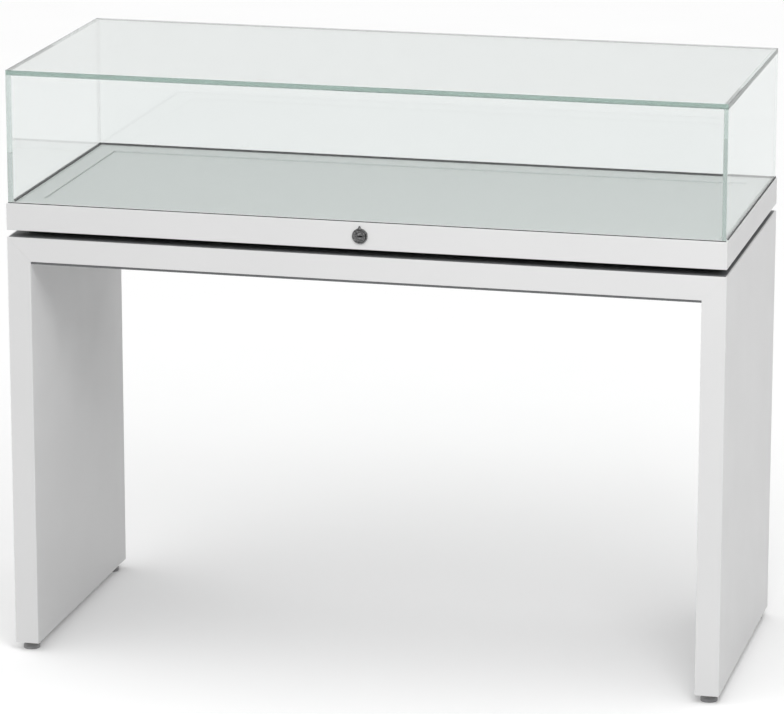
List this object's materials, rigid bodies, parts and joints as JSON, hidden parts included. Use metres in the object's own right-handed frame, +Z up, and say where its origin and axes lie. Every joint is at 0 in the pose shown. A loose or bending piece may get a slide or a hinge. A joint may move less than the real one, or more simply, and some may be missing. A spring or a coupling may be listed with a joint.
{
  "type": "glass display showcase",
  "caption": "Free-standing glass display showcase: white waterfall table, shadow gap, shallow case with a lockable pull-out display tray, and a fixed bonded glass hood.",
  "frame": {"origin": "on the floor, under the middle of the table", "axes": "+X to the right along the width, +Y from the locked front to the back, +Z up"},
  "size_m": [1.2, 0.5038, 0.995],
  "materials": {
    "white_lacquer": "white satin lacquer on fibreboard",
    "hardwood": "plain beech",
    "plywood": "sanded birch plywood",
    "black_lacquer": "matt black lacquer",
    "grey_laminate": "dark grey laminate on fibreboard",
    "zinc_steel": "bright zinc plating",
    "brass_insert": "turned brass",
    "clear_glass": "clear float glass, polished edges with a green tint",
    "black_rubber": "soft matt black",
    "grey_rubber": "soft grey",
    "display_laminate": "fine-grained light grey laminate",
    "aluminium_angle": "mill finish",
    "dark_chrome": "dark chrome plating",
    "slide_steel": "zinc plated and lightly greased",
    "foot_nylon": "dark grey moulded nylon"
  },
  "bodies": {
    "table_and_case": {"left_leg": "white_lacquer", "right_leg": "white_lacquer", "top_slab": "white_lacquer", "mitre_dowels": "hardwood", "mitre_bolts": "zinc_steel", "thread_inserts": "brass_insert", "under_slab_panel": "grey_laminate", "under_slab_screws": "zinc_steel", "foot_inserts": "brass_insert", "spacer_front_bar": "black_lacquer", "spacer_rear_bar": "black_lacquer", "spacer_end_bars": "black_lacquer", "case_bolts": "zinc_steel", "case_bottom_panel": "grey_laminate", "left_case_rail": "white_lacquer", "right_case_rail": "white_lacquer", "rear_case_rail": "white_lacquer", "case_screws": "zinc_steel", "left_glass_gasket": "black_rubber", "right_glass_gasket": "black_rubber", "rear_glass_gasket": "black_rubber", "tray_buffers": "grey_rubber", "lock_strike": "zinc_steel", "glass_top": "clear_glass", "glass_front": "clear_glass", "glass_rear": "clear_glass", "glass_left": "clear_glass", "glass_right": "clear_glass", "left_slide_outer": "slide_steel", "right_slide_outer": "slide_steel"},
    "tray": {"front_rail": "white_lacquer", "front_seal": "black_rubber", "tray_deck": "display_laminate", "display_inlay": "display_laminate", "tray_side_bars": "plywood", "front_angles": "aluminium_angle", "tray_screws": "zinc_steel", "left_slide_inner": "slide_steel", "right_slide_inner": "slide_steel", "lock_rosette": "dark_chrome", "lock_housing": "dark_chrome", "lock_nut": "zinc_steel"},
    "lock_cylinder": {"lock_plug": "dark_chrome", "lock_cam": "zinc_steel", "lock_cam_screw": "zinc_steel"},
    "left_slide_outer_cage_body": {"left_slide_outer_cage": "slide_steel"},
    "left_slide_middle_body": {"left_slide_middle": "slide_steel"},
    "left_slide_inner_cage_body": {"left_slide_inner_cage": "slide_steel"},
    "right_slide_outer_cage_body": {"right_slide_outer_cage": "slide_steel"},
    "right_slide_middle_body": {"right_slide_middle": "slide_steel"},
    "right_slide_inner_cage_body": {"right_slide_inner_cage": "slide_steel"},
    "front_left_foot": {"front_left_foot_stud": "zinc_steel", "front_left_foot_pad": "foot_nylon"},
    "front_right_foot": {"front_right_foot_stud": "zinc_steel", "front_right_foot_pad": "foot_nylon"},
    "rear_left_foot": {"rear_left_foot_stud": "zinc_steel", "rear_left_foot_pad": "foot_nylon"},
    "rear_right_foot": {"rear_right_foot_stud": "zinc_steel", "rear_right_foot_pad": "foot_nylon"}
  },
  "joints": [
    {"name": "tray_slide", "type": "slide", "parent": "table_and_case", "child": "tray", "axis": [0, -1, 0], "range_m": [0, 0.4]},
    {"name": "lock_turn", "type": "hinge", "parent": "tray", "child": "lock_cylinder", "pos_m": [0, -0.25, 0.7505], "axis": [0, 1, 0], "range_deg": [0, 90]},
    {"name": "left_slide_outer_cage_travel", "type": "slide", "parent": "table_and_case", "child": "left_slide_outer_cage_body", "axis": [0, -1, 0], "range_m": [0, 0.1]},
    {"name": "left_slide_middle_travel", "type": "slide", "parent": "table_and_case", "child": "left_slide_middle_body", "axis": [0, -1, 0], "range_m": [0, 0.2]},
    {"name": "left_slide_inner_cage_travel", "type": "slide", "parent": "table_and_case", "child": "left_slide_inner_cage_body", "axis": [0, -1, 0], "range_m": [0, 0.3]},
    {"name": "right_slide_outer_cage_travel", "type": "slide", "parent": "table_and_case", "child": "right_slide_outer_cage_body", "axis": [0, -1, 0], "range_m": [0, 0.1]},
    {"name": "right_slide_middle_travel", "type": "slide", "parent": "table_and_case", "child": "right_slide_middle_body", "axis": [0, -1, 0], "range_m": [0, 0.2]},
    {"name": "right_slide_inner_cage_travel", "type": "slide", "parent": "table_and_case", "child": "right_slide_inner_cage_body", "axis": [0, -1, 0], "range_m": [0, 0.3]},
    {"name": "front_left_foot_level", "type": "slide", "parent": "table_and_case", "child": "front_left_foot", "axis": [0, 0, -1], "range_m": [0, 0.01]},
    {"name": "front_right_foot_level", "type": "slide", "parent": "table_and_case", "child": "front_right_foot", "axis": [0, 0, -1], "range_m": [0, 0.01]},
    {"name": "rear_left_foot_level", "type": "slide", "parent": "table_and_case", "child": "rear_left_foot", "axis": [0, 0, -1], "range_m": [0, 0.01]},
    {"name": "rear_right_foot_level", "type": "slide", "parent": "table_and_case", "child": "rear_right_foot", "axis": [0, 0, -1], "range_m": [0, 0.01]}
  ],
  "couplings": [
    {"joint": "left_slide_outer_cage_travel", "follows": "tray_slide", "ratio": 0.25},
    {"joint": "left_slide_middle_travel", "follows": "tray_slide", "ratio": 0.5},
    {"joint": "left_slide_inner_cage_travel", "follows": "tray_slide", "ratio": 0.75},
    {"joint": "right_slide_outer_cage_travel", "follows": "tray_slide", "ratio": 0.25},
    {"joint": "right_slide_middle_travel", "follows": "tray_slide", "ratio": 0.5},
    {"joint": "right_slide_inner_cage_travel", "follows": "tray_slide", "ratio": 0.75}
  ]
}
